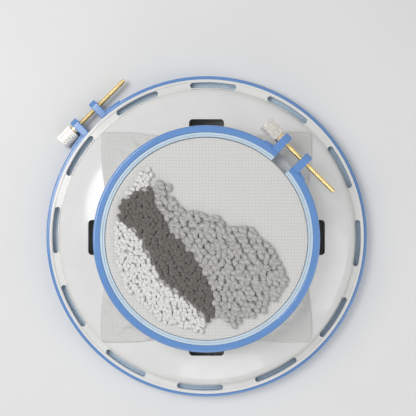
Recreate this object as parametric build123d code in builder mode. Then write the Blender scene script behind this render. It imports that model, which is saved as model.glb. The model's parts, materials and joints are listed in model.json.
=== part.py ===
"""Embroidery hoop on stand: a domed stand with a small hoop on top and a large hoop round its foot.

Millimetres, +Z up. The origin is the centre of the foot, on the table.
"""

import os
from collections import namedtuple
from math import asin, ceil, cos, degrees, radians, sin, sqrt

from build123d import *

# Clearances
CLEAR = 0.3  # between pieces that slide past each other, or that cloth passes
SNUG = 0.05  # between pieces pressed or clipped together
SHAFT_CLEAR = 0.1  # round the screw's rod in the lugs

# Cloth and pile
CLOTH_T = 0.7
CLOTH_HALF_PLAN = 90.0  # half side of the square that the hanging cloth covers, seen from above
CLOTH_OUT = 1.0  # cloth outside the small ring
FLAP_FALL = 9.0  # hanging corners come down to the dome over this much radius
FLAP_BEND = 12.0  # and bend again this much further out
FLAP_FALL_LIFT = 6.42  # their height off the dome at the first of these places
FLAP_BEND_LIFT = 3.72  # at the second
FLAP_MEET_LIFT = 3.35  # and where the dome's arcs meet
FLAP_STEP = 7.0  # longest straight stretch of them over the dome's large arc
FLAP_END_OUT = 1.5  # their line ends this far outside the dome's foot
FLAP_END_DROP = 1.0  # and this far below the shoulder's full height
PILE_H = 3.2
PILE_R = 73.0  # the pile stays inside this radius
PILE_GAP = 0.4  # each yarn's pile stops this far from its outline

# Rings
RING_WALL = 5.8  # split outer ring, radially
GRIP_WALL = 3.8  # soft liner, radially
INNER_WALL = 4.7  # inner ring, radially
SMALL_R = 90.0  # outside of the small split ring
LARGE_R = 138.0  # outside of the large split ring
SMALL_RING_H = 11.4
LARGE_RING_H = 13.2
SMALL_INNER_H = 12.0
LARGE_INNER_H = 9.6
LARGE_INNER_Z = 0.5  # the large inner ring hangs this far off the table
SMALL_GRIP_MARGIN = 0.6  # liner's edges below and above, inside the small ring
LARGE_GRIP_MARGIN = 3.2
RING_ROUND = 1.8  # rounding of the outer ring's outer edges
EDGE_ROUND = 0.8  # rounding of the other ring edges
TONGUE_H = 3.0  # liner's tongue in the outer ring's groove
TONGUE_D = 1.2

# Lugs
SMALL_GAP_AT = 45.0  # direction of the small ring's gap, in degrees from +X
LARGE_GAP_AT = 135.0
GAP_W = 16.0  # between the lugs
LUG_T = 6.5
LUG_R = 6.9  # round end of a lug, about the screw
LUG_ROOT = 2.6  # how far the lug reaches into the ring's wall
LUG_EDGE = 0.9
SCREW_OUT = 8.0  # screw's axis outside the ring
RIB_T = 1.2  # thicker stretch of the ring beside each lug
RIB_ARC = 9.0  # its length, in degrees
RIB_SETBACK = 1.4  # the rib stops this far from the ring's top and bottom

# Screw, with its knob at one end
ROD_R = 1.95
ROD_TAIL = 45.0  # free end, from the middle of the gap
ROD_TIP = 0.6  # chamfer on the free end
KNOB_R = 6.3
KNOB_L = 15.0
KNOB_FLUTES = 24
FLUTE_R = 0.55
KNOB_ROUND = 1.2
KNOB_SLOT_W = 1.6
KNOB_SLOT_D = 1.4
KNOB_ROD_D = 11.0  # how deep the rod sits in the knob
BUSH_R = 3.4
BUSH_D = 6.0  # bush's depth in the knob
BUSH_COLLAR_R = 4.3
BUSH_COLLAR_T = 1.2
WASHER_R = 4.6
WASHER_T = 0.8
NUT_AF = 7.0  # across flats
NUT_T = 3.2
FACE_GAP = 0.1  # between washer, lug and bush faces

# Stand
STAND_WALL = 2.5
SEAT_Z = 53.5  # top of the ledge that the small inner ring sits on
UPSTAND_H = 8.5  # rim inside the small inner ring
UPSTAND_ROUND = 1.0
LEDGE_OUT = 2.1  # ledge beyond the small liner's inside
NECK_ROUND = 4.0  # where neck meets dome
CROWN_R = 125.0  # dome's large arc
SHOULDER_R = 13.0  # dome's small arc, down to the foot
SHOULDER_TURN = 64.0  # angle above level at which the two arcs meet
SHOULDER_RISE = 1.3  # straight wall under the shoulder
FOOT_STEP = 2.9  # dome's foot beyond the skirt
FLANGE_T = 2.5
FLANGE_SETBACK = 3.5  # flange's edge inside the large ring's outside
LIP_W = 2.2
LIP_H = 0.8
SKIRT_H = 10.4
SLOT_COUNT = 8  # slots round the neck
SLOT_W = 14.0  # radially
SLOT_L = 29.0
SLOT_ROUND = 3.0
SLOT_IN = 1.5  # slots start this far outside the neck
NIB_W = 22.0
NIB_OUT = 5.0
NIB_H = 4.5
FOOT_SLOT_COUNT = 12
FOOT_SLOT_W = 4.6
FOOT_SLOT_ARC = 15.5
FOOT_SLOT_AT = 27.5
FOOT_SLOT_OFF = 3.4  # slots' centre line beyond the dome's foot

# Radii and heights that follow from these
small_grip_r = SMALL_R - RING_WALL
cloth_r = small_grip_r - GRIP_WALL - CLEAR
small_inner_r = cloth_r - CLOTH_T - CLEAR
upstand_r = small_inner_r - INNER_WALL - CLEAR
large_grip_r = LARGE_R - RING_WALL
large_inner_r = large_grip_r - GRIP_WALL - CLEAR
skirt_r = large_inner_r - INNER_WALL - SNUG
neck_r = small_grip_r - GRIP_WALL + LEDGE_OUT
foot_r = skirt_r + FOOT_STEP
flange_r = LARGE_R - FLANGE_SETBACK
flange_z = LARGE_RING_H
flange_top = flange_z + FLANGE_T
small_ring_z = SEAT_Z + CLEAR + CLOTH_T + CLEAR
cloth_top = SEAT_Z + SMALL_INNER_H + CLEAR + CLOTH_T

Hoop = namedtuple("Hoop", "name ring_r z height grip_margin gap_at")
SMALL = Hoop("small", SMALL_R, small_ring_z, SMALL_RING_H, SMALL_GRIP_MARGIN, SMALL_GAP_AT)
LARGE = Hoop("large", LARGE_R, 0.0, LARGE_RING_H, LARGE_GRIP_MARGIN, LARGE_GAP_AT)


def keep(builder, name):
    """Labels a finished piece and writes it."""
    builder.part.label = name
    export_step(builder.part, f"parts/{name}.step")


def near(vertices, *points):
    """The vertices that lie at these points of a section."""
    return [vertices.sort_by_distance((x, z, 0))[0] for x, z in points]


def section_plane(angle):
    """An upright plane through the axis, with radius along its X and height along its Y."""
    a = radians(angle)
    return Plane(origin=(0, 0, 0), x_dir=(cos(a), sin(a), 0), z_dir=(sin(a), -cos(a), 0))


def screw_plane(hoop, along=0.0):
    """A plane across the screw, this far from the middle of the gap towards the knob."""
    a = radians(hoop.gap_at)
    axis_r = hoop.ring_r + SCREW_OUT
    towards_knob = Vector(-sin(a), cos(a), 0)
    centre = Vector(axis_r * cos(a), axis_r * sin(a), hoop.z + LUG_R) + towards_knob * along
    return Plane(origin=centre, x_dir=(cos(a), sin(a), 0), z_dir=towards_knob)


def half_gap_angle(hoop):
    return degrees(asin(GAP_W / 2 / (hoop.ring_r - RING_WALL / 2)))


def lug(hoop, start):
    """Ear with a round end about the screw, from this far along it."""
    length = SCREW_OUT + LUG_ROOT
    with BuildPart() as ear:
        with BuildSketch(screw_plane(hoop, start)):
            Circle(LUG_R)
            with Locations((-length / 2, 0)):
                Rectangle(length, 2 * LUG_R)
        extrude(amount=LUG_T)
        fillet(ear.edges().filter_by(GeomType.CIRCLE), LUG_EDGE)
    return ear.part


def outer_ring(hoop):
    """The split ring, with a groove for the liner, a rib and a lug on each side of the gap."""
    inside = hoop.ring_r - RING_WALL
    top = hoop.z + hoop.height
    middle = hoop.z + hoop.height / 2
    open_angle = half_gap_angle(hoop)
    lug_start = GAP_W / 2
    nut_floor = lug_start + LUG_T - NUT_T - FACE_GAP
    with BuildPart() as ring:
        with BuildSketch(section_plane(hoop.gap_at + open_angle)) as section:
            with BuildLine():
                Polyline(
                    (inside, hoop.z),
                    (hoop.ring_r, hoop.z),
                    (hoop.ring_r, top),
                    (inside, top),
                    (inside, middle + TONGUE_H / 2),
                    (inside + TONGUE_D, middle + TONGUE_H / 2),
                    (inside + TONGUE_D, middle - TONGUE_H / 2),
                    (inside, middle - TONGUE_H / 2),
                    close=True,
                )
            make_face()
            outer_corners = near(section.vertices(), (hoop.ring_r, hoop.z), (hoop.ring_r, top))
            fillet(outer_corners, RING_ROUND)
            fillet(near(section.vertices(), (inside, hoop.z), (inside, top)), EDGE_ROUND)
        revolve(axis=Axis.Z, revolution_arc=360 - 2 * open_angle)
        for start in (open_angle, -open_angle - RIB_ARC):
            with BuildSketch(section_plane(hoop.gap_at + start)) as rib:
                with Locations((hoop.ring_r, middle)):
                    Rectangle(2 * RIB_T, hoop.height - 2 * RIB_SETBACK)
                fillet(rib.vertices().group_by(Axis.X)[-1], RIB_T / 2)
            revolve(axis=Axis.Z, revolution_arc=RIB_ARC)
        add([lug(hoop, lug_start), lug(hoop, -lug_start - LUG_T)])
        with BuildSketch(screw_plane(hoop, -lug_start - LUG_T)):
            Circle(ROD_R + SHAFT_CLEAR)
        extrude(amount=2 * (lug_start + LUG_T), mode=Mode.SUBTRACT)
        with BuildSketch(screw_plane(hoop, -lug_start - LUG_T)):
            RegularPolygon(NUT_AF / 2 + SNUG, 6, major_radius=False)
        extrude(amount=lug_start + LUG_T - nut_floor, mode=Mode.SUBTRACT)
    return ring


def grip_liner(hoop):
    """Soft strip inside the split ring: two rounded beads, and a tongue in the ring's groove."""
    outside = hoop.ring_r - RING_WALL - SNUG
    inside = hoop.ring_r - RING_WALL - GRIP_WALL
    low = hoop.z + hoop.grip_margin
    high = hoop.z + hoop.height - hoop.grip_margin
    middle = (low + high) / 2
    tongue = TONGUE_H / 2 - SNUG
    open_angle = half_gap_angle(hoop)
    with BuildPart() as liner:
        with BuildSketch(section_plane(hoop.gap_at + open_angle)) as section:
            with BuildLine():
                Polyline(
                    (inside, low),
                    (outside, low),
                    (outside, middle - tongue),
                    (outside + TONGUE_D - SNUG, middle - tongue),
                    (outside + TONGUE_D - SNUG, middle + tongue),
                    (outside, middle + tongue),
                    (outside, high),
                    (inside + GRIP_WALL / 2 + TONGUE_D / 4, high),
                    (inside + GRIP_WALL / 2, high - TONGUE_D / 2),
                    (inside + GRIP_WALL / 2 - TONGUE_D / 4, high),
                    (inside, high),
                    close=True,
                )
            make_face()
            fillet(near(section.vertices(), (inside, low), (inside, high)), EDGE_ROUND)
        revolve(axis=Axis.Z, revolution_arc=360 - 2 * open_angle)
    return liner


def inner_ring(outside, low, height):
    """Plain ring with rounded edges."""
    with BuildPart() as ring:
        with BuildSketch(Plane.XZ) as section:
            with Locations((outside - INNER_WALL / 2, low + height / 2)):
                Rectangle(INNER_WALL, height)
            fillet(section.vertices().group_by(Axis.Y)[-1], EDGE_ROUND)
        revolve(axis=Axis.Z)
    return ring


def screw_rod(hoop):
    """Rod from its free end to inside the knob."""
    knob_face = GAP_W / 2 + LUG_T + WASHER_T + BUSH_COLLAR_T + 2 * FACE_GAP
    with BuildPart() as rod:
        with BuildSketch(screw_plane(hoop, -ROD_TAIL)):
            Circle(ROD_R)
        extrude(amount=ROD_TAIL + knob_face + KNOB_ROD_D)
        free_end = rod.faces().sort_by_distance(screw_plane(hoop, -ROD_TAIL).origin)[0]
        chamfer(free_end.edges(), ROD_TIP)
    return rod


def knob(hoop):
    """Fluted knob with a screwdriver slot in its outer end."""
    face = GAP_W / 2 + LUG_T + WASHER_T + BUSH_COLLAR_T + 2 * FACE_GAP
    with BuildPart() as body:
        with BuildSketch(screw_plane(hoop, face)):
            Circle(KNOB_R)
        extrude(amount=KNOB_L)
        fillet(body.edges().filter_by(GeomType.CIRCLE), KNOB_ROUND)
        with BuildSketch(screw_plane(hoop, face)):
            with PolarLocations(KNOB_R, KNOB_FLUTES):
                Circle(FLUTE_R)
        extrude(amount=KNOB_L, mode=Mode.SUBTRACT)
        with BuildSketch(screw_plane(hoop, face + KNOB_L)):
            Rectangle(2 * KNOB_R, KNOB_SLOT_W)
        extrude(amount=-KNOB_SLOT_D, mode=Mode.SUBTRACT)
        with BuildSketch(screw_plane(hoop, face)):
            Circle(BUSH_R + SNUG)
        extrude(amount=BUSH_D + SNUG, mode=Mode.SUBTRACT)
        with BuildSketch(screw_plane(hoop, face)):
            Circle(ROD_R + SNUG)
        extrude(amount=KNOB_ROD_D + SNUG, mode=Mode.SUBTRACT)
    return body


def knob_insert(hoop):
    """Bush that holds the knob to the rod, with a collar that bears on the washer."""
    collar = GAP_W / 2 + LUG_T + WASHER_T + 2 * FACE_GAP
    with BuildPart() as bush:
        with BuildSketch(screw_plane(hoop, collar)):
            Circle(BUSH_COLLAR_R)
        extrude(amount=BUSH_COLLAR_T)
        with BuildSketch(screw_plane(hoop, collar + BUSH_COLLAR_T)):
            Circle(BUSH_R)
        extrude(amount=BUSH_D)
        with BuildSketch(screw_plane(hoop, collar)):
            Circle(ROD_R + SNUG)
        extrude(amount=BUSH_COLLAR_T + BUSH_D, mode=Mode.SUBTRACT)
    return bush


def washer(hoop):
    with BuildPart() as disc:
        with BuildSketch(screw_plane(hoop, GAP_W / 2 + LUG_T + FACE_GAP)):
            Circle(WASHER_R)
            Circle(ROD_R + SHAFT_CLEAR, mode=Mode.SUBTRACT)
        extrude(amount=WASHER_T)
    return disc


def nut(hoop):
    """Hex nut in the pocket of the lug at the screw's free end."""
    with BuildPart() as hexagon:
        with BuildSketch(screw_plane(hoop, -GAP_W / 2 - LUG_T)):
            RegularPolygon(NUT_AF / 2, 6, major_radius=False)
            Circle(ROD_R + SNUG, mode=Mode.SUBTRACT)
        extrude(amount=NUT_T)
    return hexagon


def dome_arc_end(wall):
    """Where the dome's arcs meet and end, for its outside (wall 0) or its inside."""
    turn = radians(SHOULDER_TURN)
    shoulder = (foot_r - SHOULDER_R, flange_top + SHOULDER_RISE)
    reach = CROWN_R - SHOULDER_R
    crown = (shoulder[0] - reach * cos(turn), shoulder[1] - reach * sin(turn))
    start_r = neck_r - wall
    start = (start_r, crown[1] + sqrt((CROWN_R - wall) ** 2 - (start_r - crown[0]) ** 2))
    meet = (
        shoulder[0] + (SHOULDER_R - wall) * cos(turn),
        shoulder[1] + (SHOULDER_R - wall) * sin(turn),
    )
    return start, meet, (foot_r - wall, shoulder[1])


def dome_height(r):
    """Height of the dome's outside at a radius on its large arc."""
    meet_r, meet_z = dome_arc_end(0)[1]
    turn = radians(SHOULDER_TURN)
    centre_r = meet_r - CROWN_R * cos(turn)
    centre_z = meet_z - CROWN_R * sin(turn)
    return centre_z + sqrt(CROWN_R**2 - (r - centre_r) ** 2)


def flap_points(hang_r):
    """The hanging corners' underside over the dome, from this radius outwards."""
    fall_r = hang_r + FLAP_FALL
    bend_r = fall_r + FLAP_BEND
    meet_r = dome_arc_end(0)[1][0]
    steps = ceil((meet_r - bend_r) / FLAP_STEP)
    points = [(fall_r, dome_height(fall_r) + FLAP_FALL_LIFT)]
    for step in range(steps + 1):
        share = step / steps
        r = bend_r + share * (meet_r - bend_r)
        lift = FLAP_BEND_LIFT + share * (FLAP_MEET_LIFT - FLAP_BEND_LIFT)
        points.append((r, dome_height(r) + lift))
    return points


def stand_shell():
    """The whole stand: rim and ledge, neck, two-arc dome, foot flange with a lip, and skirt."""
    out_start, out_meet, out_end = dome_arc_end(0)
    in_start, in_meet, in_end = dome_arc_end(STAND_WALL)
    rim_in = upstand_r - STAND_WALL
    rim_top = SEAT_Z + UPSTAND_H
    with BuildPart() as shell:
        with BuildSketch(Plane.XZ) as section:
            with BuildLine():
                Polyline(
                    in_start,
                    (in_start[0], SEAT_Z - STAND_WALL),
                    (rim_in, SEAT_Z - STAND_WALL),
                    (rim_in, rim_top),
                    (upstand_r, rim_top),
                    (upstand_r, SEAT_Z),
                    (neck_r, SEAT_Z),
                    out_start,
                )
                RadiusArc(out_start, out_meet, CROWN_R)
                RadiusArc(out_meet, out_end, SHOULDER_R)
                Polyline(
                    out_end,
                    (foot_r, flange_top),
                    (flange_r - LIP_W, flange_top),
                    (flange_r - LIP_W, flange_top + LIP_H),
                    (flange_r, flange_top + LIP_H),
                    (flange_r, flange_z),
                    (skirt_r, flange_z),
                    (skirt_r, flange_z - SKIRT_H),
                    (skirt_r - STAND_WALL, flange_z - SKIRT_H),
                    (skirt_r - STAND_WALL, flange_top),
                    (foot_r - STAND_WALL, flange_top),
                    in_end,
                )
                RadiusArc(in_end, in_meet, -(SHOULDER_R - STAND_WALL))
                RadiusArc(in_meet, in_start, -(CROWN_R - STAND_WALL))
            make_face()
            fillet(near(section.vertices(), (rim_in, rim_top), (upstand_r, rim_top)), UPSTAND_ROUND)
            fillet(near(section.vertices(), out_start), NECK_ROUND)
            lip_corners = ((flange_r, flange_top + LIP_H), (flange_r, flange_z))
            fillet(near(section.vertices(), *lip_corners), EDGE_ROUND)
            fillet(near(section.vertices(), (foot_r, flange_top)), EDGE_ROUND)
        revolve(axis=Axis.Z)
        with BuildSketch(Plane.XY.offset(flange_top + SHOULDER_R)):
            with PolarLocations(neck_r + SLOT_IN + SLOT_W / 2, SLOT_COUNT):
                RectangleRounded(SLOT_W, SLOT_L, SLOT_ROUND)
        extrude(amount=SEAT_Z - STAND_WALL - flange_top - SHOULDER_R, mode=Mode.SUBTRACT)
        with BuildSketch(Plane.XY.offset(SEAT_Z)):
            with PolarLocations(neck_r + NIB_OUT / 2, SLOT_COUNT, start_angle=180 / SLOT_COUNT):
                Rectangle(NIB_OUT + STAND_WALL, NIB_W)
            Circle(neck_r - STAND_WALL, mode=Mode.SUBTRACT)
        extrude(amount=-NIB_H)
        with BuildSketch(Plane.XY.offset(flange_z)):
            with PolarLocations(0, FOOT_SLOT_COUNT, start_angle=FOOT_SLOT_AT):
                centre_line = CenterArc(
                    (0, 0), foot_r + FOOT_SLOT_OFF, -FOOT_SLOT_ARC / 2, FOOT_SLOT_ARC
                )
                SlotArc(centre_line, FOOT_SLOT_W)
        extrude(amount=FLANGE_T, mode=Mode.SUBTRACT)
    return shell


def stand_section(shell, low, high):
    """The part of the stand between two heights. The sections meet face to face."""
    with BuildPart() as section:
        add(shell.part)
        split(bisect_by=Plane.XY.offset(low), keep=Keep.TOP)
        split(bisect_by=Plane.XY.offset(high), keep=Keep.BOTTOM)
    return section


def hanging_cloth():
    """Square of cloth over the inner ring, down between the rings, and hanging at its corners."""
    hang_z = SEAT_Z + CLEAR + CLOTH_T
    hang_r = SMALL_R + CLOTH_OUT
    with BuildPart() as sheet:
        with BuildSketch(Plane.XZ):
            with BuildLine():
                Polyline(
                    (0, cloth_top),
                    (cloth_r, cloth_top),
                    (cloth_r, hang_z),
                    (hang_r, hang_z),
                    *flap_points(hang_r),
                    (foot_r + FLAP_END_OUT, flange_top + SHOULDER_R - FLAP_END_DROP),
                )
                offset(amount=CLOTH_T, side=Side.RIGHT, kind=Kind.INTERSECTION)
            make_face()
        revolve(axis=Axis.Z)
        with BuildSketch():
            Rectangle(2 * CLOTH_HALF_PLAN, 2 * CLOTH_HALF_PLAN)
        extrude(amount=cloth_top + CLOTH_T, mode=Mode.INTERSECT)
    return sheet


# Outlines of the pile, as seen from above. The dark stripe runs from upper left to lower right.
STRIPE_LEFT = [(-70, 18), (-53, 2), (-43, -17), (-37, -31), (-15, -48), (1, -65)]
STRIPE_RIGHT = [(7, -60), (5, -39), (-10, -13), (-25, 3), (-38, 23), (-44, 41)]
STRIPE_TOP = [(-56, 37), (-67, 31)]
GREY_EDGE = [(-34, 50), (-22, 27), (4, 19), (20, 10), (38, 9), (54, -8), (67, -36), (46, -56), (20, -70)]
WHITE_EDGE = [(-6, -78), (-80, -78), (-80, 40), (-52, 60), (-42, 54)]


def pile(*outline):
    """Plain body of one yarn's pile, inside its outline and the pile's radius."""
    with BuildPart() as body:
        with BuildSketch(Plane.XY.offset(cloth_top)):
            with BuildLine():
                Polyline(*outline, close=True)
            make_face()
            offset(amount=-PILE_GAP, kind=Kind.INTERSECTION, mode=Mode.REPLACE)
            Circle(PILE_R, mode=Mode.INTERSECT)
        extrude(amount=PILE_H)
    return body


os.makedirs("parts", exist_ok=True)

(_, neck_start_z), (_, arcs_meet_z), _ = dome_arc_end(0)
neck_end_z = neck_start_z + NECK_ROUND
slots_end_z = dome_height(neck_r + SLOT_IN + SLOT_W) - 2 * STAND_WALL
stand = stand_shell()
keep(stand_section(stand, SEAT_Z - STAND_WALL, SEAT_Z + UPSTAND_H), "stand_rim")
keep(stand_section(stand, neck_end_z, SEAT_Z - STAND_WALL), "stand_neck")
keep(stand_section(stand, slots_end_z, neck_end_z), "stand_slots")
keep(stand_section(stand, arcs_meet_z, slots_end_z), "stand_dome")
keep(stand_section(stand, flange_z - SKIRT_H, arcs_meet_z), "stand_foot")
keep(inner_ring(small_inner_r, SEAT_Z, SMALL_INNER_H), "small_inner_ring")
keep(inner_ring(large_inner_r, LARGE_INNER_Z, LARGE_INNER_H), "large_inner_ring")
for hoop in (SMALL, LARGE):
    keep(outer_ring(hoop), f"{hoop.name}_outer_ring")
    keep(grip_liner(hoop), f"{hoop.name}_grip_liner")
    keep(screw_rod(hoop), f"{hoop.name}_screw")
    keep(knob(hoop), f"{hoop.name}_knob")
    keep(knob_insert(hoop), f"{hoop.name}_knob_insert")
    keep(washer(hoop), f"{hoop.name}_washer")
    keep(nut(hoop), f"{hoop.name}_nut")
keep(hanging_cloth(), "cloth")
keep(pile(*STRIPE_LEFT, *STRIPE_RIGHT, *STRIPE_TOP), "pile_dark")
keep(pile(*reversed(STRIPE_RIGHT), *reversed(GREY_EDGE)), "pile_grey")
keep(pile(*STRIPE_LEFT, *WHITE_EDGE, STRIPE_RIGHT[-1], *STRIPE_TOP), "pile_white")
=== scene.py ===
"""Looks of the embroidery hoop on its stand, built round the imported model. Metres, +Z up."""

import json
import math
import random

import bpy
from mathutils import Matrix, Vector, noise
from mathutils.bvhtree import BVHTree

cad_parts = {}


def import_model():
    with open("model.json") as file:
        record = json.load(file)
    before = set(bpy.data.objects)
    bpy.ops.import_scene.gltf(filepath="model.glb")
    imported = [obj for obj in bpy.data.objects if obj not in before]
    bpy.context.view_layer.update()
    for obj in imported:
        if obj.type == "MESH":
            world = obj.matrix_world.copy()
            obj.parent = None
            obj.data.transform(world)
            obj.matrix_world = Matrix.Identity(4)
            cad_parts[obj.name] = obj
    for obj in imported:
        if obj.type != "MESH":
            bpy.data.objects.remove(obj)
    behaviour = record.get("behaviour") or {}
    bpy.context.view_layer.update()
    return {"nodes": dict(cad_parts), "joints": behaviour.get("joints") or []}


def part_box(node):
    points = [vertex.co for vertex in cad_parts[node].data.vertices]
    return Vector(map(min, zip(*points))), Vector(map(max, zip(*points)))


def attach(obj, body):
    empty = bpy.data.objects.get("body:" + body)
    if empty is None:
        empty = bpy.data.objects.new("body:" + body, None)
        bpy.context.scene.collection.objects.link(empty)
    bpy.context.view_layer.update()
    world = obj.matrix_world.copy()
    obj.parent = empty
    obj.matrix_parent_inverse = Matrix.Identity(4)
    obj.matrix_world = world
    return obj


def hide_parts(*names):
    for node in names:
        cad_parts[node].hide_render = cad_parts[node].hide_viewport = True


MM = 0.001

# Camera: straight above, as the window shows the hoop
CAMERA_HEIGHT = 0.600  # above the small hoop's top
VIEW_WIDTH = 0.327  # seen across the image at the small hoop's top
CAMERA_AT = (0.0012, 0.0244)  # X and Y of the image's middle

# Cloth: a square cut, clamped between the rings
CLOTH_SIDE = 0.210
CLOTH_THICK = 0.55 * MM
RING_TO_CLOTH = 0.65 * MM  # from the inner ring's faces to the middle of the cloth
FOLD_R = 0.8 * MM  # the cloth's bends round the inner ring's edges
PIN_BEYOND = 9.0 * MM  # how much of the cloth past the rings is held under the outer ring
WEAVE_PITCH = 2.6 * MM
WEAVE_DRIFT = 1.2 * MM  # how far the threads wander
DRIFT_SCALE = 90.0
HOLE_FILL = 1.9  # higher: smaller holes at the crossings

# Cloth's mesh: spokes from its middle, crossed by rows that are counted outwards
SPOKES = 288
TOP_ROWS = 16
TOP_SPACING = 0.8  # under one: the rows lie closer together towards the ring
FOLD_ROWS = 4
WALL_ROWS = 5
UNDER_FOLD_ROWS = 3
PIN_ROWS = 4
FREE_ROWS = 24

# Cloth simulation, run at ten times the real size
SIM_SCALE = 10.0
SIM_FRAMES = 46
START_SLOPE = math.radians(38)  # the hanging part leaves the ring at this angle before it falls
RIPPLE = 0.3 * MM  # unevenness of the hanging part before it falls
RIPPLE_SCALE = 90.0
CLOTH_GAP = 0.006  # kept from the proxy, at the simulation's scale
COLLISION_QUALITY = 4
COTTON = {
    "quality": 7,
    "mass": 0.25,
    "tension_stiffness": 18,
    "compression_stiffness": 18,
    "shear_stiffness": 6,
    "bending_stiffness": 1.4,
    "tension_damping": 8,
    "compression_damping": 8,
    "shear_damping": 8,
    "bending_damping": 1.5,
    "air_damping": 2.0,
}

# Proxy of the stand that the cloth falls on
PROXY_AROUND = 120
PROXY_STEPS = 44
PROXY_FROM = 5 * MM  # outside the inner ring
PROXY_INSET = 0.5 * MM  # from the large ring's edge to the last ray
PROXY_SPOKE = math.radians(11.25)  # the stand's outside is read along this spoke, between the slots
PROXY_DROP = 1 * MM  # the rays start this far below the held cloth
PROXY_SKIN = 0.004
PROXY_FRICTION = 12

# Screw thread
THREAD_PITCH = 0.7 * MM
THREAD_DEPTH = 0.27 * MM
THREAD_TIP = 1.2 * THREAD_PITCH  # length of the taper at each end
TIP_R = 0.8  # share of the rod's radius at its ends
TIP_GROWTH = 0.2
ROD_AROUND = 16
ROWS_PER_TURN = 4

HOOPS = ("small", "large")
UP = Vector((0, 0, 1))
DOWN = Vector((0, 0, -1))
RAY_TOP = 0.2  # above the whole object

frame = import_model()
nodes = frame["nodes"]
joints = {j["name"]: j for j in frame["joints"]}
rng = random.Random(7)


# ---------------------------------------------------------------- materials


class Graph:
    """A material's node graph, with short calls for the nodes that are used often."""

    def __init__(self, name):
        self.material = bpy.data.materials.new(name)
        self.material.use_nodes = True
        self.tree = self.material.node_tree
        self.tree.nodes.clear()
        self.shader = self.add("ShaderNodeBsdfPrincipled")
        self.out = self.add("ShaderNodeOutputMaterial")
        self.link(self.shader.outputs["BSDF"], self.out.inputs["Surface"])

    def add(self, kind, **settings):
        node = self.tree.nodes.new(kind)
        for key, value in settings.items():
            setattr(node, key, value)
        return node

    def link(self, a, b):
        self.tree.links.new(a, b)

    def set(self, **values):
        for key, value in values.items():
            self.shader.inputs[key.replace("_", " ")].default_value = value

    def value(self, socket, value):
        """Links a socket or sets a constant."""
        if isinstance(value, bpy.types.NodeSocket):
            self.link(value, socket)
        else:
            socket.default_value = value

    def math(self, operation, a, b=0.0):
        node = self.add("ShaderNodeMath", operation=operation)
        for socket, value in zip(node.inputs, (a, b)):
            self.value(socket, value)
        return node.outputs[0]

    def noise(self, scale, detail=3.0, vector=None, rough=0.5):
        node = self.add("ShaderNodeTexNoise")
        node.inputs["Scale"].default_value = scale
        node.inputs["Detail"].default_value = detail
        node.inputs["Roughness"].default_value = rough
        self.link(vector or self.place(), node.inputs["Vector"])
        return node.outputs["Fac"]

    def place(self):
        """The point's own place on the object."""
        return self.add("ShaderNodeTexCoord").outputs["Object"]

    def stretched(self, angle, scale):
        """Places turned about Z and scaled, for grain that runs one way."""
        mapping = self.add("ShaderNodeMapping")
        mapping.inputs["Rotation"].default_value = (0, 0, angle)
        mapping.inputs["Scale"].default_value = scale
        self.link(self.place(), mapping.inputs["Vector"])
        return mapping.outputs["Vector"]

    def ramp(self, fac, *stops):
        node = self.add("ShaderNodeValToRGB")
        elements = node.color_ramp.elements
        while len(elements) < len(stops):
            elements.new(0.5)
        for element, (at, colour) in zip(elements, stops):
            element.position = at
            element.color = (*colour, 1.0)
        self.link(fac, node.inputs["Fac"])
        return node.outputs["Color"]

    def span(self, fac, low, high):
        node = self.add("ShaderNodeMapRange")
        node.inputs["To Min"].default_value = low
        node.inputs["To Max"].default_value = high
        self.link(fac, node.inputs["Value"])
        return node.outputs["Result"]

    def bump(self, height, strength, distance):
        node = self.add("ShaderNodeBump")
        node.inputs["Strength"].default_value = strength
        node.inputs["Distance"].default_value = distance
        self.link(height, node.inputs["Height"])
        self.link(node.outputs["Normal"], self.shader.inputs["Normal"])

    def colour(self, socket):
        self.link(socket, self.shader.inputs["Base Color"])

    def roughness(self, socket):
        self.link(socket, self.shader.inputs["Roughness"])


def shade(colour, factor):
    return tuple(min(1.0, c * factor) for c in colour)


def plastic(name, colour, rough, coat, grain):
    """Moulded plastic: faint flow marks in its colour and gloss, and a fine texture."""
    g = Graph(name)
    flow = g.noise(scale=38.0, detail=2.0)
    g.colour(g.ramp(flow, (0.3, shade(colour, 0.965)), (0.7, shade(colour, 1.02))))
    g.roughness(g.span(g.noise(scale=220.0, detail=4.0), low=rough * 0.8, high=rough * 1.35))
    g.bump(g.noise(scale=grain, detail=2.0), strength=0.12, distance=0.00012)
    g.set(IOR=1.5, Coat_Weight=coat, Coat_Roughness=0.06)
    return g.material


def rubber(name, colour):
    """Soft strip: dull, with a fine stipple."""
    g = Graph(name)
    wear = g.noise(scale=60.0, detail=3.0)
    g.colour(g.ramp(wear, (0.3, shade(colour, 0.95)), (0.7, shade(colour, 1.02))))
    g.roughness(g.span(g.noise(scale=300.0, detail=3.0), low=0.38, high=0.55))
    g.bump(g.noise(scale=2600.0, detail=2.0), strength=0.25, distance=0.0001)
    g.set(IOR=1.48)
    return g.material


def metal(name, colour, rough, angle):
    """Turned metal: fine lines round the axis, and a little tarnish."""
    g = Graph(name)
    lines = g.noise(scale=900.0, detail=3.0, vector=g.stretched(angle, scale=(0.15, 1.0, 0.15)))
    tarnish = g.noise(scale=420.0, detail=5.0)
    g.colour(g.ramp(tarnish, (0.25, shade(colour, 0.72)), (0.62, colour)))
    g.roughness(g.span(lines, low=rough * 0.7, high=rough * 1.5))
    g.bump(lines, strength=0.2, distance=0.00006)
    g.set(Metallic=1.0)
    return g.material


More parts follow.
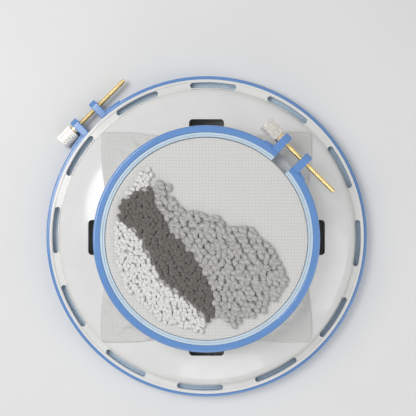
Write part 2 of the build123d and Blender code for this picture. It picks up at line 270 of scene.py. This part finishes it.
def weave(name, colour):
    """Open basket weave of paired threads, with a small hole at each crossing of the pairs, and
    painted shade in the holes and on the threads' low parts.
    """
    g = Graph(name)
    uv = g.add("ShaderNodeUVMap", uv_map="flat").outputs["UV"]
    split = g.add("ShaderNodeSeparateXYZ")
    wobble = g.add("ShaderNodeVectorMath", operation="MULTIPLY_ADD")
    drift = g.add("ShaderNodeTexNoise")
    drift.inputs["Scale"].default_value = DRIFT_SCALE
    g.link(uv, drift.inputs["Vector"])
    g.link(drift.outputs["Color"], wobble.inputs[0])
    wobble.inputs[1].default_value = (WEAVE_DRIFT, WEAVE_DRIFT, 0.0)
    g.link(uv, wobble.inputs[2])
    g.link(wobble.outputs["Vector"], split.inputs["Vector"])
    cells = []
    for axis in "XY":
        cell = g.math("DIVIDE", split.outputs[axis], WEAVE_PITCH)
        whole = g.math("FLOOR", cell)
        part = g.math("SUBTRACT", cell, whole)
        cells.append((whole, part))
    (iu, fu), (iv, fv) = cells
    parity = g.math("MODULO", g.math("ABSOLUTE", g.math("ADD", iu, iv)), 2.0)

    def threads(across, along):
        pair = g.math("ABSOLUTE", g.math("SINE", g.math("MULTIPLY", across, 2 * math.pi)))
        arch = g.math("SINE", g.math("MULTIPLY", along, math.pi))
        return g.math("MULTIPLY", pair, g.math("ADD", 0.45, g.math("MULTIPLY", arch, 0.55)))

    over_u, over_v = threads(fv, fu), threads(fu, fv)
    pick = g.add("ShaderNodeMix", data_type="FLOAT")
    g.link(parity, pick.inputs[0])
    g.link(over_u, pick.inputs[2])
    g.link(over_v, pick.inputs[3])
    height = pick.outputs[0]
    corner = g.math(
        "ADD",
        g.math("ABSOLUTE", g.math("SINE", g.math("MULTIPLY", fu, math.pi))),
        g.math("ABSOLUTE", g.math("SINE", g.math("MULTIPLY", fv, math.pi))),
    )
    solid = g.math("MINIMUM", 1.0, g.math("MULTIPLY", corner, HOLE_FILL))
    slub = g.noise(scale=700.0, detail=3.0, vector=uv)
    # painted shade: the holes at the crossings and the low ends of each thread are coloured darker,
    # down to 0.28 of the cloth's colour; slub adds real unevenness
    shade_by_depth = g.math("MULTIPLY", g.math("ADD", 0.55, g.math("MULTIPLY", height, 0.45)), solid)
    tone = g.math("MULTIPLY", shade_by_depth, g.math("ADD", 0.92, g.math("MULTIPLY", slub, 0.14)))
    g.colour(g.ramp(tone, (0.0, shade(colour, 0.28)), (0.45, shade(colour, 0.86)), (0.9, colour)))
    g.bump(g.math("MULTIPLY", g.math("ADD", height, solid), 0.5), strength=0.6, distance=0.0005)
    g.set(Roughness=0.9, Sheen_Weight=0.25, Sheen_Roughness=0.5)
    return g.material


def yarn(name, colour, crease_shade, fuzz):
    """Plied wool: strands that wind round the loop, with painted shade in the creases between the
    plies and painted light on their crests, and fine fibres.
    """
    g = Graph(name)
    uv = g.add("ShaderNodeUVMap", uv_map="strand").outputs["UV"]
    split = g.add("ShaderNodeSeparateXYZ")
    g.link(uv, split.inputs["Vector"])
    wind = g.math("ADD", g.math("MULTIPLY", split.outputs["Y"], 3.0), split.outputs["X"])
    ply = g.math("ABSOLUTE", g.math("SINE", g.math("MULTIPLY", wind, math.pi)))
    stretch = g.add("ShaderNodeMapping")
    stretch.inputs["Scale"].default_value = (2.0, 26.0, 1.0)
    stretch.inputs["Rotation"].default_value = (0.0, 0.0, 0.32)
    g.link(uv, stretch.inputs["Vector"])
    fibres = g.noise(scale=3.0, detail=4.0, vector=stretch.outputs["Vector"], rough=0.65)
    blotch = g.noise(scale=160.0, detail=3.0)
    uneven = g.math("ADD", fibres, blotch)
    tone = g.math("ADD", g.math("MULTIPLY", ply, 0.55), g.math("MULTIPLY", uneven, 0.3))
    # painted shade and light: the creases between the plies are coloured darker by the crease factor,
    # the plies' crests lighter; fibres and blotches add real unevenness
    g.colour(g.ramp(tone, (0.1, shade(colour, crease_shade)), (0.55, colour), (0.95, shade(colour, 1.12))))
    g.bump(g.math("ADD", g.math("MULTIPLY", ply, 0.6), fibres), strength=0.55, distance=0.0004)
    g.set(Roughness=0.95, Sheen_Weight=fuzz, Sheen_Roughness=0.6)
    return g.material


def dress(names, material):
    """Gives CAD nodes their material."""
    for name in names:
        mesh = nodes[name].data
        mesh.materials.clear()
        mesh.materials.append(material)


STAND = ("stand_rim", "stand_neck", "stand_slots", "stand_dome", "stand_foot")

WHITE = (0.76, 0.76, 0.75)
BLUE = (0.110, 0.265, 0.590)
PALE = (0.56, 0.68, 0.78)
BRASS = (0.80, 0.60, 0.27)
NICKEL = (0.74, 0.72, 0.68)
CLOTH = (0.70, 0.695, 0.68)

white_gloss = plastic("white_gloss", WHITE, rough=0.17, coat=0.35, grain=1500.0)
white_satin = plastic("white_satin", WHITE, rough=0.36, coat=0.0, grain=2400.0)
blue_gloss = plastic("blue_gloss", BLUE, rough=0.16, coat=0.4, grain=1700.0)
dress(STAND, white_gloss)
dress(["small_inner_ring", "large_inner_ring"], white_satin)
dress(["small_outer_ring", "large_outer_ring"], blue_gloss)
dress(["small_grip_liner", "large_grip_liner"], rubber("pale_grip", PALE))
brass = {}
for hoop in HOOPS:
    axis = joints[f"{hoop}_screw_turn"]["axis"]
    turn = -math.atan2(axis[1], axis[0])
    brass[hoop] = metal(f"brass_{hoop}", BRASS, rough=0.24, angle=turn)
    nickel = metal(f"nickel_{hoop}", NICKEL, rough=0.26, angle=turn)
    dress([f"{hoop}_nut", f"{hoop}_knob_insert"], brass[hoop])
    dress([f"{hoop}_knob", f"{hoop}_washer"], nickel)


# ---------------------------------------------------------------- meshes


def piece(name, verts, faces, material, smooth=True):
    mesh = bpy.data.meshes.new(name)
    mesh.from_pydata(verts, [], faces)
    mesh.materials.append(material)
    if smooth:
        mesh.polygons.foreach_set("use_smooth", [True] * len(mesh.polygons))
    mesh.update()
    obj = bpy.data.objects.new(name, mesh)
    bpy.context.scene.collection.objects.link(obj)
    return obj


def ray_tree(name):
    """A CAD node's mesh, ready for rays to be cast at it."""
    mesh = nodes[name].data
    return BVHTree.FromPolygons([v.co for v in mesh.vertices], [p.vertices for p in mesh.polygons])


def grid_faces(rows, around, offset=0):
    """Quads between closed rows of points."""
    faces = []
    for i in range(rows - 1):
        for j in range(around):
            k = (j + 1) % around
            a, b = offset + i * around + j, offset + i * around + k
            faces.append((a, b, b + around, a + around))
    return faces


def threaded_rod(hoop):
    """The screw's rod, with its helical thread, on the CAD rod's axis."""
    joint = joints[f"{hoop}_screw_turn"]
    axis, at = Vector(joint["axis"]).normalized(), Vector(joint["pos_m"])
    other = axis.cross(UP)
    points = [v.co - at for v in nodes[f"{hoop}_screw"].data.vertices]
    start, end = min(p.dot(axis) for p in points), max(p.dot(axis) for p in points)
    radius = max((p - axis * p.dot(axis)).length for p in points)
    rows = int((end - start) / THREAD_PITCH * ROWS_PER_TURN) + 1
    verts = []
    for i in range(rows):
        t = start + (end - start) * i / (rows - 1)
        near_end = min(1.0, min(t - start, end - t) / THREAD_TIP)
        for j in range(ROD_AROUND):
            a = 2 * math.pi * j / ROD_AROUND
            phase = (t / THREAD_PITCH - j / ROD_AROUND) % 1.0
            groove = abs(2 * phase - 1)
            r = (radius - THREAD_DEPTH * groove) * (TIP_R + TIP_GROWTH * near_end)
            verts.append(at + axis * t + (UP * math.cos(a) + other * math.sin(a)) * r)
    faces = grid_faces(rows, ROD_AROUND)
    last = (rows - 1) * ROD_AROUND
    faces.append(tuple(range(ROD_AROUND))[::-1])
    faces.append(tuple(range(last, last + ROD_AROUND)))
    rod = piece(f"{hoop}_threaded_rod", verts, faces, brass[hoop])
    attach(rod, f"{hoop}_thumbscrew")
    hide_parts(f"{hoop}_screw")


for hoop in HOOPS:
    threaded_rod(hoop)


# ---------------------------------------------------------------- pile

# A loop's mesh
LOOP_ROWS = 15
LOOP_AROUND = 14

# A loop's shape; shares of its width or of the yarn's radius
LOOP_BULGE = 0.35  # wider above its foot than at it
LOOP_ARCH = 0.8  # under one: a rounder top
LOOP_DRIFT = 0.55
END_R = 0.70
CROWN_R = 0.36  # added to the yarn's radius at the top of the loop
CROWN_ARCH = 0.7
PLIES = 3
PLY_DEPTH = 0.085
PLY_TURNS = 0.9
LUMP = 0.10
LUMP_SCALE = 0.9
STRAND_LENGTH = 2.7  # of the strand's texture along a loop

# How the loops stand: their heading and how far each is turned from it, then spans of chance
LOOP_HEADING = math.radians(112)
LOOP_SPREAD = math.radians(48)
ROW_SPACING = 0.88
JITTER = 0.2
LEAN_ACROSS = 0.35
LEAN_ALONG = 0.2
WIDTHS = (0.50, 0.72)
HEIGHTS = (0.88, 1.12)
RADII = (0.9, 1.1)
ROOT = 0.5 * MM  # how far the loops start below the cloth's face
OUTLINE_RAYS = 6


def add_loop(verts, faces, uvs, base, heading, lean, width, height, radius):
    """One yarn loop: an arch out of the cloth and back, plied and a little uneven."""
    along = Vector((math.cos(heading), math.sin(heading), 0))
    across = Vector((-along.y, along.x, 0))
    up = (UP + across * lean[0] + along * lean[1]).normalized()
    seed = Vector((rng.random() * 50, rng.random() * 50, rng.random() * 50))
    twist_at = rng.random()
    offset = len(verts)
    centres = []
    for i in range(LOOP_ROWS):
        t = math.pi * i / (LOOP_ROWS - 1)
        swell = noise.noise(seed + Vector((i * 0.21, 0, 0)))
        centres.append(
            base
            + along * (-math.cos(t) * width / 2 * (1 + LOOP_BULGE * math.sin(t)))
            + up * (math.sin(t) ** LOOP_ARCH * (height - radius))
            + across * (swell * radius * LOOP_DRIFT)
        )
    for i, centre in enumerate(centres):
        ahead = centres[min(i + 1, LOOP_ROWS - 1)] - centres[max(i - 1, 0)]
        ahead.normalize()
        n = ahead.cross(across).normalized()
        b = ahead.cross(n)
        t = i / (LOOP_ROWS - 1)
        puff = END_R + CROWN_R * math.sin(math.pi * t) ** CROWN_ARCH
        for j in range(LOOP_AROUND):
            a = 2 * math.pi * j / LOOP_AROUND
            out = n * math.cos(a) + b * math.sin(a)
            plies = PLY_DEPTH * math.cos(PLIES * (a + 2 * math.pi * (t * PLY_TURNS + twist_at)))
            lump = LUMP * noise.noise(seed + out * LUMP_SCALE + ahead * (3 * t))
            r = radius * puff * (1 + plies + lump)
            verts.append(centre + out * r)
            uvs.append((t * STRAND_LENGTH + PLIES * twist_at, j / LOOP_AROUND))
    faces += grid_faces(LOOP_ROWS, LOOP_AROUND, offset=offset)
    last = offset + (LOOP_ROWS - 1) * LOOP_AROUND
    faces.append(tuple(offset + j for j in range(LOOP_AROUND))[::-1])
    faces.append(tuple(last + j for j in range(LOOP_AROUND)))


def inside(tree, x, y, inset):
    """True if the CAD pile's outline holds a disc of this radius about the point."""
    for k in range(OUTLINE_RAYS):
        a = 2 * math.pi * k / OUTLINE_RAYS
        p = Vector((x + inset * math.cos(a), y + inset * math.sin(a), RAY_TOP))
        if tree.ray_cast(p, DOWN)[0] is None:
            return False
    return True


def pile(node, material, slot, pitch, height, radius, inset):
    """Loops over the whole outline of a CAD pile, set in uneven rows."""
    tree = ray_tree(node)
    low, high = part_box(node)
    verts, faces, uvs = [], [], []
    rows = int((high.y - low.y) / (pitch * ROW_SPACING)) + 2
    for i in range(rows):
        y0 = low.y + (i - 0.5) * pitch * ROW_SPACING
        for k in range(int((high.x - low.x) / pitch) + 3):
            x = low.x + (k - 0.5 + (i % 2) * 0.5) * pitch + rng.uniform(-JITTER, JITTER) * pitch
            y = y0 + rng.uniform(-JITTER, JITTER) * pitch
            if not inside(tree, x, y, inset):
                continue
            add_loop(
                verts, faces, uvs,
                Vector((x, y, low.z - ROOT)),
                LOOP_HEADING + rng.uniform(-LOOP_SPREAD, LOOP_SPREAD),
                (rng.uniform(-LEAN_ACROSS, LEAN_ACROSS), rng.uniform(-LEAN_ALONG, LEAN_ALONG)),
                pitch * rng.uniform(*WIDTHS),
                height * rng.uniform(*HEIGHTS),
                radius * rng.uniform(*RADII),
            )
    loops = piece(f"{node}_loops", verts, faces, material)
    layer = loops.data.uv_layers.new(name="strand")
    for polygon in loops.data.polygons:
        corners = [uvs[loops.data.loops[l].vertex_index] for l in polygon.loop_indices]
        wraps = max(v for _, v in corners) - min(v for _, v in corners) > 0.5
        for l, (u, v) in zip(polygon.loop_indices, corners):
            layer.data[l].uv = (u, v + 1.0 if wraps and v < 0.5 and len(corners) == 4 else v)
    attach(loops, "work")
    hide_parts(node)


# Yarns: colour, painted shade in the creases and sheen, then a loop's pitch, height, radius and inset
# in mm
YARNS = {
    "white": ((0.76, 0.755, 0.735), 0.60, 0.5, (3.4, 3.9, 1.6, 0.5)),
    "dark": ((0.135, 0.120, 0.108), 0.40, 0.4, (3.4, 4.6, 1.65, 0.5)),
    "grey": ((0.46, 0.455, 0.44), 0.40, 0.4, (4.7, 4.9, 2.2, 0.8)),
}
for name, (colour, crease_shade, fuzz, loop_sizes) in YARNS.items():
    material = yarn(f"yarn_{name}", colour, crease_shade, fuzz)
    pile(f"pile_{name}", material, f"yarn_{name}", *(size * MM for size in loop_sizes))


# ---------------------------------------------------------------- cloth

ring_low, ring_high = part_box("small_inner_ring")
crest_r = ring_high.x + RING_TO_CLOTH
top_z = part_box("cloth")[1].z - CLOTH_THICK / 2
under_z = ring_low.z + RING_TO_CLOTH
fold_arc = FOLD_R * math.pi / 2
flat_end = crest_r - FOLD_R
wall_end = flat_end + fold_arc + (top_z - under_z - 2 * FOLD_R)


def held_point(s):
    """Radius and height of the held cloth, this far from its middle."""
    if s <= flat_end:
        return s, top_z
    if s <= flat_end + fold_arc:
        a = (s - flat_end) / FOLD_R
        return flat_end + FOLD_R * math.sin(a), top_z - FOLD_R * (1 - math.cos(a))
    if s <= wall_end:
        return crest_r, top_z - FOLD_R - (s - flat_end - fold_arc)
    if s <= wall_end + fold_arc:
        a = (s - wall_end) / FOLD_R
        return crest_r + FOLD_R * (1 - math.cos(a)), under_z + FOLD_R * (1 - math.sin(a))
    return crest_r + FOLD_R + (s - wall_end - fold_arc), under_z


def cloth_stations():
    """Distances from the middle at which the held cloth has a row of points."""
    wall = wall_end - flat_end - fold_arc
    stations = [flat_end * (i / TOP_ROWS) ** TOP_SPACING for i in range(1, TOP_ROWS + 1)]
    stations += [flat_end + fold_arc * i / FOLD_ROWS for i in range(1, FOLD_ROWS + 1)]
    stations += [flat_end + fold_arc + wall * i / WALL_ROWS for i in range(1, WALL_ROWS + 1)]
    stations += [wall_end + fold_arc * i / UNDER_FOLD_ROWS for i in range(1, UNDER_FOLD_ROWS + 1)]
    stations += [wall_end + fold_arc + PIN_BEYOND * i / PIN_ROWS for i in range(1, PIN_ROWS + 1)]
    return stations


def drape(flat, start, pinned):
    """Cloth simulation of the hanging part: its points, before and after, are in rows."""
    rows = len(flat) // SPOKES
    mesh = bpy.data.meshes.new("drape")
    mesh.from_pydata([p * SIM_SCALE for p in start], [], grid_faces(rows, SPOKES))
    obj = bpy.data.objects.new("drape", mesh)
    bpy.context.scene.collection.objects.link(obj)
    obj.shape_key_add(name="Basis")
    key = obj.shape_key_add(name="flat")
    for i, p in enumerate(flat):
        key.data[i].co = p * SIM_SCALE
    key.value = 0.0
    group = obj.vertex_groups.new(name="held")
    group.add(list(pinned), 1.0, "ADD")
    modifier = obj.modifiers.new("cloth", "CLOTH")
    for setting, value in COTTON.items():
        setattr(modifier.settings, setting, value)
    modifier.settings.vertex_group_mass = "held"
    modifier.settings.rest_shape_key = key
    modifier.collision_settings.use_collision = True
    modifier.collision_settings.distance_min = CLOTH_GAP
    modifier.collision_settings.collision_quality = COLLISION_QUALITY
    modifier.collision_settings.use_self_collision = False
    modifier.point_cache.frame_start = 1
    modifier.point_cache.frame_end = SIM_FRAMES
    scene = bpy.context.scene
    for f in range(1, SIM_FRAMES + 1):
        scene.frame_set(f)
    solved = obj.evaluated_get(bpy.context.evaluated_depsgraph_get()).data
    result = [v.co / SIM_SCALE for v in solved.vertices]
    scene.frame_set(1)
    bpy.data.objects.remove(obj)
    bpy.data.meshes.remove(mesh)
    return result


def lathe_proxy(name, profile):
    """A turned surface that the cloth rests on while it is simulated, facing up and out."""
    verts = []
    for r, z in profile:
        for j in range(PROXY_AROUND):
            a = 2 * math.pi * j / PROXY_AROUND
            verts.append(Vector((r * math.cos(a), r * math.sin(a), z)) * SIM_SCALE)
    outward = [face[::-1] for face in grid_faces(len(profile), PROXY_AROUND)]
    obj = piece(name, verts, outward, None)
    obj.modifiers.new("collision", "COLLISION")
    obj.collision.thickness_outer = PROXY_SKIN
    obj.collision.cloth_friction = PROXY_FRICTION
    return obj


def shell_profile():
    """The stand's outside, from neck to the large ring, read from the CAD meshes along one spoke."""
    spoke = Vector((math.cos(PROXY_SPOKE), math.sin(PROXY_SPOKE), 0))
    trees = [ray_tree(name) for name in (*STAND, "large_outer_ring")]
    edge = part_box("large_outer_ring")[1].x
    width = edge - ring_high.x - (PROXY_FROM + PROXY_INSET)
    profile = []
    for i in range(PROXY_STEPS + 1):
        r = ring_high.x + PROXY_FROM + width * i / PROXY_STEPS
        above = spoke * r + Vector((0, 0, under_z - PROXY_DROP))
        hits = [tree.ray_cast(above, DOWN)[0] for tree in trees]
        profile.append((r, max((h.z for h in hits if h), default=0.0)))
    profile.append((edge, 0.0))
    return profile


def laid_points(stations):
    """The cloth's points in rows: where they are in the flat square, and as first formed."""
    rim = stations[-1]
    rim_r, rim_z = held_point(rim)
    angles = [2 * math.pi * j / SPOKES for j in range(SPOKES)]
    flat, formed = [], []
    for i in range(len(stations) + FREE_ROWS):
        for c, s in ((math.cos(a), math.sin(a)) for a in angles):
            if i < len(stations):
                reach = stations[i]
                r, z = held_point(reach)
            else:
                edge = CLOTH_SIDE / 2 / max(abs(c), abs(s))
                reach = rim + (edge - rim) * (i - len(stations) + 1) / FREE_ROWS
                hang = reach - rim
                r = rim_r + hang * math.cos(START_SLOPE)
                z = rim_z - hang * math.sin(START_SLOPE)
            flat.append(Vector((reach * c, reach * s, 0)))
            formed.append(Vector((r * c, r * s, z)))
    return flat, formed


def make_cloth():
    """The hooped square: stretched over the inner ring, its corners fallen on the dome."""
    stations = cloth_stations()
    flat, formed = laid_points(stations)
    first_pinned = (len(stations) - PIN_ROWS) * SPOKES
    first_free = len(stations) * SPOKES
    for p in formed[first_free:]:
        p.z += RIPPLE * noise.noise(p * RIPPLE_SCALE)
    stand = lathe_proxy("stand_proxy", shell_profile())
    pinned = range(PIN_ROWS * SPOKES)
    formed[first_pinned:] = drape(flat[first_pinned:], formed[first_pinned:], pinned)
    bpy.data.objects.remove(stand)
    centre = len(formed)
    faces = grid_faces(len(stations) + FREE_ROWS, SPOKES)
    faces += [(j, (j + 1) % SPOKES, centre) for j in range(SPOKES)]
    cloth = piece("hooped_cloth", formed + [Vector((0, 0, top_z))], faces, weave("weave", CLOTH))
    layer = cloth.data.uv_layers.new(name="flat")
    for loop in cloth.data.loops:
        p = flat[loop.vertex_index] if loop.vertex_index < centre else Vector((0, 0, 0))
        layer.data[loop.index].uv = (p.x, p.y)
    solid = cloth.modifiers.new("thickness", "SOLIDIFY")
    solid.thickness = CLOTH_THICK
    solid.offset = 0.0
    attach(cloth, "work")
    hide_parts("cloth")


make_cloth()


# ---------------------------------------------------------------- stage, lights, camera

BACKDROP = 0.90  # brightness of the background, which lights nothing
SKY = 0.40  # brightness of the world's light on the object
FADE_FROM, FADE_TO = 0.30, 1.10  # the floor fades into the background over these distances
FLOOR_DARK = (0.77, 0.77, 0.765)
FLOOR_LIGHT = (0.80, 0.80, 0.795)
FLOOR_HALF = 6.0
SENSOR = 36.0  # mm
LOOK_AT = (0, 0, 0.03)  # the lamps point here

# Lamps: place, width and power
LAMPS = {
    "key": ((-0.55, 0.25, 0.95), 0.7, 6.6),
    "fill": ((0.75, -0.25, 0.6), 0.6, 1.5),
    "front": ((0.1, -0.95, 0.55), 0.6, 1.5),
}


def seen_directly(tree):
    """One for rays from the camera, or by way of gloss or glass, and zero for light on the object."""
    path = tree.nodes.new("ShaderNodeLightPath")
    total = path.outputs["Is Camera Ray"]
    for ray in ("Is Glossy Ray", "Is Transmission Ray"):
        either = tree.nodes.new("ShaderNodeMath")
        either.operation = "MAXIMUM"
        tree.links.new(total, either.inputs[0])
        tree.links.new(path.outputs[ray], either.inputs[1])
        total = either.outputs[0]
    return total


def stage():
    """Pale floor that keeps the object's shadow, and fades into the background further out."""
    g = Graph("floor")
    g.colour(g.ramp(g.noise(scale=6.0, detail=3.0), (0.3, FLOOR_DARK), (0.7, FLOOR_LIGHT)))
    g.set(Roughness=0.7)
    distance = g.add("ShaderNodeVectorMath", operation="LENGTH")
    g.link(g.place(), distance.inputs[0])
    far = g.add("ShaderNodeMapRange", interpolation_type="SMOOTHSTEP")
    far.inputs["From Min"].default_value = FADE_FROM
    far.inputs["From Max"].default_value = FADE_TO
    g.link(distance.outputs["Value"], far.inputs["Value"])
    glow = g.add("ShaderNodeEmission")
    glow.inputs["Color"].default_value = (BACKDROP, BACKDROP, BACKDROP, 1.0)
    fade = g.add("ShaderNodeMixShader")
    g.link(g.math("MULTIPLY", far.outputs["Result"], seen_directly(g.tree)), fade.inputs[0])
    g.link(g.shader.outputs["BSDF"], fade.inputs[1])
    g.link(glow.outputs["Emission"], fade.inputs[2])
    g.link(fade.outputs["Shader"], g.out.inputs["Surface"])
    corners = [(x * FLOOR_HALF, y * FLOOR_HALF, 0) for x, y in ((-1, -1), (1, -1), (1, 1), (-1, 1))]
    floor = piece("floor", corners, [(0, 1, 2, 3)], g.material, smooth=False)


def area_light(name, place, size, power):
    data = bpy.data.lights.new(name, "AREA")
    data.shape = "DISK"
    data.size = size
    data.energy = power
    lamp = bpy.data.objects.new(name, data)
    lamp.location = place
    lamp.rotation_mode = "QUATERNION"
    lamp.rotation_quaternion = (Vector(LOOK_AT) - Vector(place)).to_track_quat("-Z", "Y")
    bpy.context.scene.collection.objects.link(lamp)


def world():
    w = bpy.data.worlds.new("studio")
    bpy.context.scene.world = w
    w.use_nodes = True
    tree = w.node_tree
    sky = tree.nodes["Background"]
    sky.inputs["Color"].default_value = (1.0, 1.0, 1.0, 1.0)
    strength = tree.nodes.new("ShaderNodeMath")
    strength.operation = "MULTIPLY_ADD"
    strength.inputs[1].default_value = BACKDROP - SKY
    strength.inputs[2].default_value = SKY
    tree.links.new(seen_directly(tree), strength.inputs[0])
    tree.links.new(strength.outputs[0], sky.inputs["Strength"])


def camera():
    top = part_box("small_outer_ring")[1].z
    data = bpy.data.cameras.new("camera")
    data.sensor_width = SENSOR
    data.lens = data.sensor_width / 2 / (VIEW_WIDTH / 2 / CAMERA_HEIGHT)
    data.clip_start, data.clip_end = 0.01, 20.0
    cam = bpy.data.objects.new("camera", data)
    cam.location = (*CAMERA_AT, top + CAMERA_HEIGHT)
    bpy.context.scene.collection.objects.link(cam)
    bpy.context.scene.camera = cam


stage()
for name, (place, width, power) in LAMPS.items():
    area_light(name, place, width, power)
world()
camera()
bpy.context.scene.view_settings.view_transform = "Standard"
